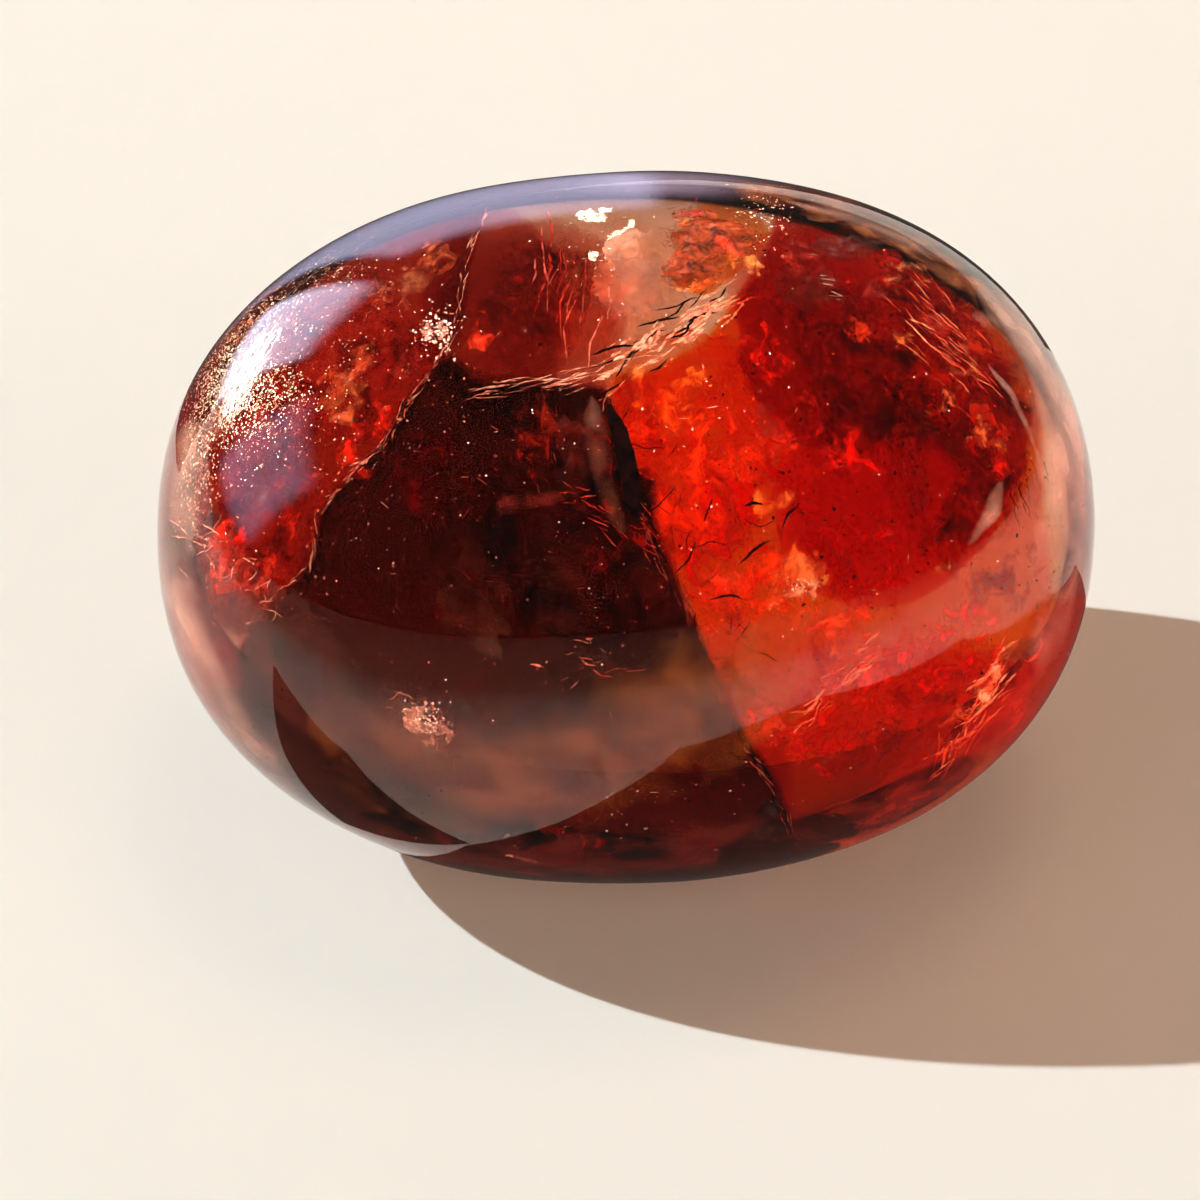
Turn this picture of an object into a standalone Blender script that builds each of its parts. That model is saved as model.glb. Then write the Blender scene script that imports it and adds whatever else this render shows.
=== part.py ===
"""Fire quartz: a polished, rounded palm stone of clear quartz coloured by red iron oxide inside.

One solid named stone, in metres, +Z up. The longest side lies along X and the shortest along Z.
The origin is on the surface that the stone rests on, below the middle of its box.
"""

import math

import bmesh
import bpy
from mathutils import Vector

# Overall size of the stone
LENGTH = 0.060
DEPTH = 0.0456
HEIGHT = 0.0424

# How full the outline is: 2 would be a plain ellipse, more is squarer
FULLNESS = 2.24

# The polished pebble isn't symmetrical: towards +X it gets this share taller and shallower
TALLER_TO_RIGHT = 0.045
SHALLOWER_TO_RIGHT = 0.040

# The flat that it rests on is ground this far into the round underside, and eased over this height
FLAT_GROUND_OFF = 0.0006
FLAT_EASE = 0.0005

# Slow swells that hand polishing leaves: how high they stand, and how many waves go round each axis
SWELL_HEIGHT = 0.00010
SWELL_WAVES = (3.1, 2.3, 2.7)
SWELL_PHASES = (0.4, 1.9, 3.3)

# Mesh fineness: faces along each edge of the cube that is rounded into the stone
FACES_PER_SIDE = 28


def clear_scene():
    for old in list(bpy.data.objects):
        bpy.data.objects.remove(old, do_unlink=True)


def quartz_material():
    material = bpy.data.materials.new("red iron quartz")
    material.use_nodes = True
    surface = material.node_tree.nodes["Principled BSDF"]
    surface.inputs["Base Color"].default_value = (0.33, 0.025, 0.015, 1.0)
    surface.inputs["Roughness"].default_value = 0.05
    surface.inputs["Metallic"].default_value = 0.0
    surface.inputs["IOR"].default_value = 1.544
    return material


def evened(part):
    """Spreads the cube's grid lines so that the faces are of like size once they are rounded."""
    return math.tan(part * math.pi / 4)


def swell(direction):
    """Height of the slow swells on the surface seen in this direction from the middle."""
    waves = [
        math.sin(count * math.pi * part + phase)
        for count, part, phase in zip(SWELL_WAVES, direction, SWELL_PHASES)
    ]
    return SWELL_HEIGHT * sum(waves) / len(waves)


def pebble_point(direction):
    """The point of the full round pebble in this direction, before the flat is ground."""
    half = (LENGTH / 2, DEPTH / 2, HEIGHT / 2)
    share = sum(abs(part / size) ** FULLNESS for part, size in zip(direction, half))
    point = direction * (share ** (-1 / FULLNESS) + swell(direction))
    along = point.x / half[0]
    point.y *= 1 - SHALLOWER_TO_RIGHT * along
    point.z *= 1 + TALLER_TO_RIGHT * along
    return point


def ground_height(height):
    """Height over the resting plane: level below it, and eased smoothly into the round side."""
    if height <= 0:
        return 0.0
    if height < FLAT_EASE:
        return height * height / (2 * FLAT_EASE)
    return height - FLAT_EASE / 2


def fit_to_size(mesh):
    """Stretches the stone to its overall size, with its box centred over the origin and its flat on Z 0."""
    columns = list(zip(*(vert.co for vert in mesh.verts)))
    lowest = Vector(min(column) for column in columns)
    highest = Vector(max(column) for column in columns)
    size = (LENGTH, DEPTH, HEIGHT)
    scale = [want / (top - low) for want, low, top in zip(size, lowest, highest)]
    middle = (lowest + highest) / 2
    for vert in mesh.verts:
        vert.co.x = (vert.co.x - middle.x) * scale[0]
        vert.co.y = (vert.co.y - middle.y) * scale[1]
        vert.co.z = (vert.co.z - lowest.z) * scale[2]


def make_stone():
    shape = bmesh.new()
    bmesh.ops.create_cube(shape, size=2.0)
    bmesh.ops.subdivide_edges(shape, edges=shape.edges, cuts=FACES_PER_SIDE - 1, use_grid_fill=True)
    for vert in shape.verts:
        direction = Vector(evened(part) for part in vert.co).normalized()
        vert.co = pebble_point(direction)
    resting_plane = min(vert.co.z for vert in shape.verts) + FLAT_GROUND_OFF
    for vert in shape.verts:
        vert.co.z = ground_height(vert.co.z - resting_plane)
    fit_to_size(shape)
    bmesh.ops.recalc_face_normals(shape, faces=shape.faces)

    mesh = bpy.data.meshes.new("stone")
    shape.to_mesh(mesh)
    shape.free()
    mesh.shade_smooth()
    mesh.materials.append(quartz_material())
    stone = bpy.data.objects.new("stone", mesh)
    bpy.context.scene.collection.objects.link(stone)
    return stone


clear_scene()
make_stone()
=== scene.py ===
import contextlib
import functools
import math
import random

import bpy
from mathutils import Matrix, Vector, noise


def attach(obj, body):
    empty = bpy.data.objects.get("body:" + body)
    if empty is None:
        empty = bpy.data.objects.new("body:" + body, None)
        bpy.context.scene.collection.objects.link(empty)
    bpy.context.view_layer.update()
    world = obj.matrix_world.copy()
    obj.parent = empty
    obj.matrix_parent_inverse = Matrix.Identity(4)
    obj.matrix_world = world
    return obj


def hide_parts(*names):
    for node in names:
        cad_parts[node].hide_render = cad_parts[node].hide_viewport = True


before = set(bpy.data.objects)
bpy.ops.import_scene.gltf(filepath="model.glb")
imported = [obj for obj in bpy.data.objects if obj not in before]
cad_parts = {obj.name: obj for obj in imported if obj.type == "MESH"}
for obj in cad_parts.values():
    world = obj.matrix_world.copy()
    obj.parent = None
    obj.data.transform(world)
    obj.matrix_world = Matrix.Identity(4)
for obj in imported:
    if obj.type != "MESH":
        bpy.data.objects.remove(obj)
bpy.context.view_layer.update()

MM = 0.001

# Camera: where it looks, from which side and how high, and how far away it stands
LOOK_AT = Vector((-0.57, 19.0, 0.0)) * MM
CAMERA_TURN = math.radians(-3.3)
CAMERA_RISE = math.radians(38.0)
CAMERA_DISTANCE = 348.4 * MM
CLIP_START = 10 * MM
LENS = 150
SENSOR = 36
PHOTO_SIDE = 1200

# The stone's middle, and where it shows in the photo
STONE_MIDDLE = Vector((0, 0, 0.02))
STONE_SEEN = (628, 527)

# Middles of the patches of sun and of soft light on the floor
SUN_PATCH = Vector((0.30, 0.50, 0))
FILL_PATCH = Vector((0.08, 0.27, 0))

# The floor, and the outlines in millimetres of its parts that the polish doesn't mirror
FLOOR_SIDE = 6
CREAM = (0.90, 0.89, 0.83, 1)
UNMIRRORED = {
    "floor_near": (
        (-13, -20), (-6, -29), (0, -39), (9, -50), (22, -54), (37, -54), (65, -40), (62, -3), (58, 12),
        (30, 16), (-20, 10)),
    "floor_behind": ((13, 24), (1313, 2469), (-2400, 1680), (-75, 58), (-30, 50), (-22, 24)),
    "floor_left": ((-64, -26), (-43, -16), (-31, -16), (-22, -13), (-17, -15), (-22, -21), (-38, -29)),
}

# Soft light from all round
ROOM_LIGHT = (1.0, 0.80, 0.68, 1)
ROOM_STRENGTH = 0.08

QUARTZ_IOR = 1.544

# Inclusions stay this deep under the surface, and chips can come closer to it
SKIN = 0.35 * MM
CHIP_SKIN = 0.04 * MM

# The sources of chance, the same on each run: random draws, and the waves of broken edges
dice = random.Random(7)
noise.seed_set(7)


def side_direction(turn, rise):
    """Unit vector towards a place seen at this turn from +X and this height over the floor, in degrees."""
    turn, rise = math.radians(turn), math.radians(rise)
    return Vector((math.cos(rise) * math.cos(turn), math.cos(rise) * math.sin(turn), math.sin(rise)))


def make_camera():
    back = Vector((math.sin(CAMERA_TURN), -math.cos(CAMERA_TURN), 0)) * math.cos(CAMERA_RISE)
    back.z = math.sin(CAMERA_RISE)
    data = bpy.data.cameras.new("camera")
    data.lens = LENS
    data.sensor_width = SENSOR
    data.clip_start = CLIP_START
    camera = bpy.data.objects.new("camera", data)
    camera.location = LOOK_AT + back * CAMERA_DISTANCE
    camera.rotation_euler = (-back).to_track_quat("-Z", "Y").to_euler()
    bpy.context.scene.collection.objects.link(camera)
    bpy.context.scene.camera = camera
    bpy.context.view_layer.update()
    return camera


# Modelling by hand

def start(name, primitive, **sizes):
    """Adds a primitive to shape, with nothing else selected."""
    bpy.ops.object.select_all(action="DESELECT")
    primitive(**sizes)
    piece = bpy.context.object
    piece.name = name
    return piece


def select_only(piece):
    bpy.ops.object.select_all(action="DESELECT")
    piece.select_set(True)
    bpy.context.view_layer.objects.active = piece


def copy_of(original, name):
    """A copy of this piece with its own mesh, selected alone."""
    piece = original.copy()
    piece.data = original.data.copy()
    piece.name = name
    bpy.context.scene.collection.objects.link(piece)
    select_only(piece)
    return piece


@contextlib.contextmanager
def edit_mode(select=None):
    """Edit mode, after all of the mesh is selected or deselected if this says so."""
    bpy.ops.object.mode_set(mode="EDIT")
    if select:
        bpy.ops.mesh.select_all(action=select)
    yield
    bpy.ops.object.mode_set(mode="OBJECT")


def shape_with(piece, name, kind, **settings):
    """Shapes a piece with one modifier and applies it."""
    shaper = piece.modifiers.new(name, kind)
    for setting, value in settings.items():
        setattr(shaper, setting, value)
    bpy.context.view_layer.objects.active = piece
    bpy.ops.object.modifier_apply(modifier=shaper.name)


def swell(piece, size, height, layers, kind="GRAYSCALE", direction="NORMAL"):
    """Uneven swells this many millimetres across and high."""
    pattern = bpy.data.textures.new(f"{piece.name}_swells", "CLOUDS")
    pattern.noise_scale = size * MM
    pattern.noise_depth = layers
    pattern.cloud_type = kind
    shape_with(piece, "swells", "DISPLACE", texture=pattern, texture_coords="LOCAL", direction=direction,
               strength=height * MM)


def lumps(piece, size, height):
    swell(piece, size, height, 2)


def crumple(piece, size, height):
    """Crumples a sheet in all directions, with folds this many millimetres across and high."""
    swell(piece, size, height, 3, "COLOR", "RGB_TO_XYZ")


def set_in_place(piece, size, frame_of_piece):
    """Gives a piece its size, place and turn in its mesh, and leaves its object at the origin."""
    piece.scale = size
    bpy.ops.object.transform_apply(location=False, rotation=False, scale=True)
    piece.matrix_world = frame_of_piece
    bpy.ops.object.transform_apply(location=True, rotation=True, scale=True)


def set_cover(piece, amounts):
    """How densely dust covers each vertex, from 1 in the middle of a veil to 0 at its edge."""
    piece.data.attributes.new("cover", "FLOAT", "POINT").data.foreach_set("value", amounts)


# Making materials

def new_material(name):
    material = bpy.data.materials.new(name)
    material.use_nodes = True
    return material, material.node_tree


def feed(tree, shader, inputs):
    """Sets inputs of a node: a plain value on the input itself, and another node's output by a link."""
    for name, value in inputs.items():
        if isinstance(value, bpy.types.NodeSocket):
            tree.links.new(value, shader.inputs[name])
        else:
            shader.inputs[name].default_value = value


def add(tree, kind, inputs, out=0, **settings):
    """Adds a node with these inputs and settings, and gives the output that is used."""
    shader = tree.nodes.new("ShaderNode" + kind)
    for setting, value in settings.items():
        setattr(shader, setting, value)
    feed(tree, shader, inputs)
    return shader.outputs[out]


def colours(tree, amount, *stops):
    """Colours that follow an amount: each stop is its place and its colour."""
    ramp = tree.nodes.new("ShaderNodeValToRGB")
    elements = ramp.color_ramp.elements
    for count, (place, colour) in enumerate(stops):
        stop = elements[count] if count < 2 else elements.new(place)
        stop.position = place
        stop.color = (*colour, 1)
    feed(tree, ramp, {"Fac": amount})
    return ramp.outputs["Color"]


def turned_place(tree, turn):
    """The place on the piece, turned so that no grain lines up with an axis."""
    return add(tree, "Mapping", {"Vector": add(tree, "TexCoord", {}, "Object"), "Rotation": turn})


def presence(tree, grain, reach_of_cover, first, full, most=1.0):
    """How much of a veil is there, by its grain and cover: none up to first, and the most from full on."""
    cover = add(tree, "Attribute", {}, "Fac", attribute_name="cover")
    reach = add(tree, "Math", {0: cover, 1: reach_of_cover, 2: grain}, operation="MULTIPLY_ADD")
    return add(tree, "MapRange", {"Value": reach, "From Min": first, "From Max": full, "To Max": most})


def torn(tree, present, shader):
    """Shows the shader where the veil is there, and nothing where it is torn."""
    ragged = add(tree, "MixShader", {"Fac": present, 1: add(tree, "BsdfTransparent", {}), 2: shader})
    feed(tree, tree.nodes["Material Output"], {"Surface": ragged})


def lit_from_both_sides(tree, near_side, colour):
    far_side = add(tree, "BsdfTranslucent", {"Color": colour})
    return add(tree, "MixShader", {"Fac": 0.5, 1: near_side, 2: far_side})


# Light

def place_lamp(name, data, turn, rise, distance, target, in_gloss, in_glass):
    lamp = bpy.data.objects.new(name, data)
    lamp.location = STONE_MIDDLE + side_direction(turn, rise) * distance
    lamp.rotation_euler = (target - lamp.location).to_track_quat("-Z", "Y").to_euler()
    lamp.visible_camera = False
    lamp.visible_glossy = in_gloss
    lamp.visible_transmission = in_glass
    bpy.context.scene.collection.objects.link(lamp)
    return lamp


def area_lamp(name, turn, rise, distance, size, power, colour, in_gloss):
    """A soft lamp that shows either in gloss or through glass."""
    data = bpy.data.lights.new(name, "AREA")
    data.shape = "RECTANGLE"
    data.size, data.size_y = size
    data.energy = power
    data.color = colour
    return place_lamp(name, data, turn, rise, distance, STONE_MIDDLE, in_gloss, not in_gloss)


def spot_lamp(name, turn, rise, distance, target, cone, soft_edge, size, power, colour, in_gloss=False):
    data = bpy.data.lights.new(name, "SPOT")
    data.spot_size = math.radians(cone)
    data.spot_blend = soft_edge
    data.shadow_soft_size = size
    data.energy = power
    data.color = colour
    return place_lamp(name, data, turn, rise, distance, target, in_gloss, False)


def feathered(lamp, sides, top, bottom, grains):
    """Makes a lamp fade towards its edges, over these shares of its width and height, and shine in grains."""
    lamp.data.use_nodes = True
    tree = lamp.data.node_tree
    surface = add(tree, "NewGeometry", {}, "Parametric")
    parts = tree.nodes.new("ShaderNodeSeparateXYZ")
    feed(tree, parts, {"Vector": surface})
    fades = [
        add(tree, "MapRange", {"From Min": start, "From Max": end, "Value": parts.outputs[part]},
            interpolation_type="SMOOTHSTEP")
        for part, start, end in (("X", 0, sides), ("X", 1, 1 - sides), ("Y", 1, 1 - top), ("Y", 0, bottom))]
    if grains:
        grain = add(tree, "TexNoise", {"Scale": grains, "Vector": surface})
        shine = add(tree, "MapRange", {"Value": grain, "From Min": 0.44, "From Max": 0.62, "To Max": 2.0})
        fades.append(shine)
    strength = functools.reduce(
        lambda first, second: add(tree, "Math", {0: first, 1: second}, operation="MULTIPLY"), fades)
    feed(tree, tree.nodes["Emission"], {"Strength": strength})


def gathered(name, pieces):
    group = bpy.data.collections.new(name)
    for piece in pieces:
        group.objects.link(piece)
    return group


def light_only(lamp, pieces, blocked_by=()):
    """The lamp lights these pieces alone, and only these others throw shadows from it."""
    lamp.light_linking.receiver_collection = gathered(f"{lamp.name}_lights", pieces)
    if blocked_by:
        lamp.light_linking.blocker_collection = gathered(f"{lamp.name}_blocked_by", blocked_by)


def make_world():
    world = bpy.data.worlds.new("soft room")
    bpy.context.scene.world = world
    world.use_nodes = True
    tree = world.node_tree
    feed(tree, tree.nodes["Background"], {"Color": ROOM_LIGHT, "Strength": ROOM_STRENGTH})
    world.cycles.sampling_method = "NONE"


# Floor

def sides_of(corners):
    return zip(corners, corners[1:] + corners[:1])


def inside(corners, spot):
    """Whether a spot on the floor lies inside this shape."""
    within = False
    for (x1, y1), (x2, y2) in sides_of(corners):
        if (y1 > spot.y) != (y2 > spot.y) and spot.x < (x2 - x1) * (spot.y - y1) / (y2 - y1) + x1:
            within = not within
    return within


def cut_out(floor, name, corners):
    """Parts this shape of the floor from the rest; the polished stone doesn't mirror it."""
    corners = [(x * MM, y * MM) for x, y in corners]
    select_only(floor)
    with edit_mode():
        for (x1, y1), (x2, y2) in sides_of(corners):
            bpy.ops.mesh.select_all(action="SELECT")
            bpy.ops.mesh.bisect(
                plane_co=(x1, y1, 0), plane_no=(y2 - y1, x1 - x2, 0), xstart=0, xend=0, ystart=0, yend=0)
        bpy.ops.mesh.select_mode(type="FACE")
        bpy.ops.mesh.select_all(action="DESELECT")
    for face in floor.data.polygons:
        face.select = inside(corners, face.center)
    with edit_mode():
        bpy.ops.mesh.separate(type="SELECTED")
    part = next(piece for piece in bpy.context.selected_objects if piece is not floor)
    part.name = name
    part.visible_glossy = False
    return part


def make_floor():
    floor = start("floor", bpy.ops.mesh.primitive_plane_add, size=FLOOR_SIDE, location=(0, 0, 0))
    material, tree = new_material("cream floor")
    feed(tree, tree.nodes["Principled BSDF"], {"Base Color": CREAM, "Roughness": 0.9})
    floor.data.materials.append(material)
    return [floor] + [cut_out(floor, name, corners) for name, corners in UNMIRRORED.items()]


# The clear stone

def clear_quartz():
    material, tree = new_material("clear quartz")
    feed(tree, tree.nodes["Principled BSDF"], {
        "Base Color": (1, 1, 1, 1), "Roughness": 0.0, "IOR": QUARTZ_IOR, "Transmission Weight": 1.0})
    return material


def smooth_stone(name, levels, inset=0.0):
    """The modelled solid, made finer and smooth, and inset by this many millimetres."""
    stone = copy_of(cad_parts["stone"], name)
    with edit_mode("SELECT"):
        bpy.ops.mesh.remove_doubles(threshold=1e-6)
        bpy.ops.mesh.tris_convert_to_quads()
        if inset:
            bpy.ops.transform.shrink_fatten(value=-inset * MM)
    shape_with(stone, "smoother", "SUBSURF", levels=levels, render_levels=levels)
    bpy.ops.object.shade_smooth()
    stone.data.materials.clear()
    return stone


def set_body(body):
    body.data.materials.append(clear_quartz())
    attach(body, "root")
    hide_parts("stone")
    bpy.context.view_layer.update()


# Finding places inside the stone

@functools.cache
def line_of_sight(place):
    """Where the view to this photo place enters the stone, the surface there, its way and length inside."""
    across = (place[0] - PHOTO_SIDE / 2) / PHOTO_SIDE * SENSOR / LENS
    up = (PHOTO_SIDE / 2 - place[1]) / PHOTO_SIDE * SENSOR / LENS
    ray = (camera.matrix_world.to_3x3() @ Vector((across, up, -1))).normalized()
    hit, entry, normal, _ = body.ray_cast(camera.location, ray)
    if not hit:
        return None
    bend = 1 / QUARTZ_IOR
    cosine = -ray.dot(normal)
    inward = bend * ray + (bend * cosine - math.sqrt(1 - bend * bend * (1 - cosine * cosine))) * normal
    just_inside = entry + inward * 0.1 * MM
    _, leaving, _, _ = body.ray_cast(just_inside, inward)
    return entry, normal, inward, (leaving - entry).length


def seen_at(place, share):
    """The point inside that shows at this place in the photo: share 0 is the near side, 1 the far side."""
    entry, _, inward, length = line_of_sight(place)
    return entry + inward * (length * share)


def facing_view(place, share, turn=0, lean=(0, 0)):
    """Frame of a piece at this place in the photo that faces the view, then leans by these degrees."""
    _, _, inward, _ = line_of_sight(place)
    facing = (-inward).to_track_quat("Z", "Y").to_matrix().to_4x4()
    leaning = Matrix.Rotation(math.radians(lean[0]), 4, "X") @ Matrix.Rotation(math.radians(lean[1]), 4, "Y")
    turning = Matrix.Rotation(math.radians(turn), 4, "Z")
    return Matrix.Translation(seen_at(place, share)) @ facing @ leaning @ turning


def keep_inside(piece, skin=SKIN):
    for vert in piece.data.vertices:
        _, nearest, normal, _ = body.closest_point_on_mesh(vert.co)
        if (vert.co - nearest).dot(normal) > -skin:
            vert.co = nearest - normal * skin


def towards_middle(place, share):
    """A photo place, moved this share of the way to where the stone's middle shows."""
    return tuple(part * (1 - share) + middle * share for part, middle in zip(place, STONE_SEEN))


def pulled_in(place):
    """The photo place, moved towards the middle of the stone until it lies well on it."""
    while not line_of_sight(towards_middle(place, -0.01)):
        place = towards_middle(place, 0.02)
    return place


def along(line, steps):
    """Evenly spread points along a line of photo places."""
    lengths = [math.dist(start, end) for start, end in zip(line, line[1:])]
    points = []
    for step in range(steps):
        left = sum(lengths) * step / (steps - 1)
        for start, end, length in zip(line, line[1:], lengths):
            if left <= length + 1e-6:
                break
            left -= length
        part = min(1.0, left / length)
        points.append((start[0] + (end[0] - start[0]) * part, start[1] + (end[1] - start[1]) * part))
    return points


inclusions = []
stains = []


def finished(piece, material):
    """Sets a piece into the stone: its material, and the stone's body as its parent."""
    piece.data.materials.clear()
    piece.data.materials.append(material)
    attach(piece, "root")
    inclusions.append(piece)
    return piece


# Colour in the crystal

def stained(name, lets_through, over):
    """Quartz stained by iron oxide, with no surface of its own: these shares of red, green and blue light are
    left after this many millimetres."""
    material, tree = new_material(name)
    tree.nodes.remove(tree.nodes["Principled BSDF"])
    losses = [-math.log(share) / (over * MM) for share in lets_through]
    density = max(losses)
    absorption = add(tree, "VolumeAbsorption", {
        "Color": (*(1 - loss / density for loss in losses), 1), "Density": density})
    no_surface = add(tree, "BsdfTransparent", {})
    feed(tree, tree.nodes["Material Output"], {"Surface": no_surface, "Volume": absorption})
    return material


EDGE_STEP = 14
EDGE_WAVE = 23


def broken_edge(outline, seed, jitter):
    """The outline with the small steps and bites of a healed crack, in photo pixels."""
    points = []
    for start, end in sides_of(outline):
        pieces = max(1, round(math.dist(start, end) / EDGE_STEP))
        for part in range(pieces):
            x = start[0] + (end[0] - start[0]) * part / pieces
            y = start[1] + (end[1] - start[1]) * part / pieces
            shift = noise.noise_vector(Vector((x / EDGE_WAVE, y / EDGE_WAVE, seed)))
            points.append(pulled_in((x + shift.x * jitter, y + shift.y * jitter)))
    return points


def set_stain(piece, lump_size, lump_height, material):
    lumps(piece, lump_size, lump_height)
    keep_inside(piece)
    bpy.ops.object.shade_smooth()
    stains.append(piece)
    return finished(piece, material)


def block(name, outline, shares, material):
    """A block of stained crystal with this outline in the photo, with a ring at each share of the depth."""
    piece = start(name, bpy.ops.mesh.primitive_circle_add, vertices=len(outline), radius=MM, fill_type="NGON")
    for step, share in enumerate(shares):
        if step:
            with edit_mode():
                bpy.ops.mesh.select_mode(type="FACE")
                bpy.ops.mesh.extrude_region_move()
        ring = [vert for vert in piece.data.vertices if vert.select or not step]
        for vert, place in zip(ring, outline):
            vert.co = seen_at(place, share)
        if not step:
            piece.data.polygons[0].select = True
    with edit_mode("SELECT"):
        bpy.ops.mesh.normals_make_consistent(inside=False)
    shape_with(piece, "even", "REMESH", mode="VOXEL", voxel_size=0.7 * MM)
    return set_stain(piece, 4, 1.2, material)


def cloud(name, place, share, size, turn, material):
    """A lumpy cloud of stained crystal: size is across, up and deep in the view, in millimetres."""
    piece = start(name, bpy.ops.mesh.primitive_ico_sphere_add, subdivisions=5, radius=0.5)
    set_in_place(piece, [part * MM for part in size], facing_view(place, share, turn))
    return set_stain(piece, 3, 1.2, material)


# Films, dust, crinkled cracks, chips and hairs

def iron_film(name, thick, middle, thin, glow, grain):
    """A ragged film of iron oxide in a healed crack, coloured by the light that passes and by its dust."""
    material, tree = new_material(name)
    tree.nodes.remove(tree.nodes["Principled BSDF"])
    place = turned_place(tree, (0.4, 0.7, 0.9))
    dust = add(tree, "TexNoise", {
        "Vector": place, "Scale": 1 / (grain * MM), "Detail": 4, "Roughness": 0.62, "Distortion": 0.7})
    tatters = add(tree, "TexNoise", {
        "Vector": place, "Scale": 0.45 / (grain * MM), "Detail": 5, "Roughness": 0.68})
    passing = colours(tree, dust, (0.34, thick), (0.66, thin), (0.49, middle))
    see_through = add(tree, "BsdfTransparent", {"Color": passing})
    near_side = add(tree, "BsdfPrincipled", {"Base Color": (*glow, 1), "Roughness": 0.7})
    dusty = lit_from_both_sides(tree, near_side, (*glow, 1))
    glows = add(tree, "MapRange", {"Value": dust, "From Min": 0.42, "From Max": 0.68, "To Max": 0.25})
    film = add(tree, "MixShader", {"Fac": glows, 1: see_through, 2: dusty})
    torn(tree, presence(tree, tatters, 0.75, 0.90, 1.10), film)
    return material


def dust_veil(name, dark, bright, grain, covers, fineness=0.62, fade=0.18, most=1.0, gloss=0.15):
    """A veil of iron-oxide dust, lit from either side, with holes at every scale and at most this dense; some
    of these veils paint light or shade instead, as noted where they are made.
    """
    material, tree = new_material(name)
    dust = add(tree, "TexNoise", {
        "Vector": turned_place(tree, (0.5, 0.2, 0.3)), "Scale": 1 / (grain * MM), "Detail": 5,
        "Roughness": fineness, "Distortion": 0.5})
    shades = colours(tree, dust, (0.42, dark), (0.64, bright))
    near_side = tree.nodes["Principled BSDF"]
    feed(tree, near_side, {"Base Color": shades, "Roughness": 0.45, "Specular IOR Level": gloss})
    present = presence(tree, dust, 0.35, 0.98 - 0.5 * covers, 0.98 + fade - 0.5 * covers, most)
    torn(tree, present, lit_from_both_sides(tree, near_side.outputs["BSDF"], shades))
    return material


def crack_mirror(name, colour, roughness):
    """An air-filled crack, which throws light back like a crumpled mirror."""
    material, tree = new_material(name)
    grain = add(tree, "TexNoise", {"Vector": add(tree, "TexCoord", {}, "Object"), "Scale": 900, "Detail": 4})
    shades = colours(tree, grain, (0.38, [0.6 * part for part in colour]), (0.62, colour))
    gaps = add(tree, "MapRange", {"Value": grain, "From Min": 0.44, "From Max": 0.50})
    feed(tree, tree.nodes["Principled BSDF"], {
        "Base Color": shades, "Alpha": gaps, "Metallic": 0.35, "Roughness": roughness})
    return material


def mineral_dust(name, dark, bright, roughness, metallic=0.0, specular=0.5):
    """Chips of another mineral, each of its own shade."""
    material, tree = new_material(name)
    grain = add(tree, "TexNoise", {"Vector": add(tree, "TexCoord", {}, "Object"), "Scale": 1500})
    feed(tree, tree.nodes["Principled BSDF"], {
        "Base Color": colours(tree, grain, (0.40, dark), (0.60, bright)), "Roughness": roughness,
        "Metallic": metallic, "Specular IOR Level": specular})
    return material


# How far a sheet reaches before its edge is torn, how deep the tears are, and how many there are
SHEET_REACH = 0.95
TEAR_DEPTH = 0.35
TEARS = 1.7


def sheet(name, size, frame_of_sheet, material, folds, seed, fineness=44, smooth=True):
    """A crumpled sheet with a ragged edge: size is across and up in its own frame, in millimetres."""
    piece = start(
        name, bpy.ops.mesh.primitive_grid_add, x_subdivisions=fineness, y_subdivisions=fineness, size=2)
    with edit_mode():
        bpy.ops.mesh.select_mode(type="FACE")
        bpy.ops.mesh.select_all(action="DESELECT")
    for face in piece.data.polygons:
        spot = face.center
        tear = noise.fractal(Vector((spot.x * TEARS, spot.y * TEARS, seed)), 0.8, 2.1, 4)
        face.select = spot.length > SHEET_REACH - TEAR_DEPTH * (0.5 + tear)
    with edit_mode():
        bpy.ops.mesh.delete(type="FACE")
    set_cover(piece, [max(0.0, 1 - vert.co.length ** 2) for vert in piece.data.vertices])
    set_in_place(piece, (size[0] * MM / 2, size[1] * MM / 2, 1), frame_of_sheet)
    for fold in folds:
        crumple(piece, *fold)
    keep_inside(piece)
    if smooth:
        bpy.ops.object.shade_smooth()
    return finished(piece, material)


def sheets(kind, rows, folds, first_seed, **shape):
    """Numbered sheets, from rows of material, photo place, share of the depth, size, turn and maybe lean."""
    for count, (material, place, share, size, turn, *lean) in enumerate(rows):
        frame_of_sheet = facing_view(place, share, turn, *lean)
        sheet(f"{kind}_{count + 1}", size, frame_of_sheet, material, folds, first_seed + count, **shape)


def ribbon_shape(name, line, shares, width, folds=(), steps=40, lanes=6, tilt=0):
    """A pointed ribbon along a line in the photo; tilt 0 faces the view and 90 stands along it, edge on."""
    piece = start(name, bpy.ops.mesh.primitive_grid_add, x_subdivisions=steps, y_subdivisions=lanes, size=2)
    spots = along(line, steps + 1)
    middles = [
        seen_at(spot, shares[0] + (shares[1] - shares[0]) * step / steps) for step, spot in enumerate(spots)]
    amounts = []
    for vert in piece.data.vertices:
        step = round((vert.co.x + 1) / 2 * steps)
        lane = vert.co.y
        ahead = (middles[min(step + 1, steps)] - middles[max(step - 1, 0)]).normalized()
        _, _, inward, _ = line_of_sight(spots[step])
        across = ahead.cross(inward).normalized()
        turned = Matrix.Rotation(math.radians(tilt), 3, ahead) @ across
        reach = math.sqrt(max(0.0, math.sin(math.pi * step / steps)))
        amounts.append((1 - lane * lane) * reach)
        vert.co = middles[step] + turned * (lane * reach * width * MM / 2)
    set_cover(piece, amounts)
    for fold in folds:
        crumple(piece, *fold)
    return piece


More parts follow.
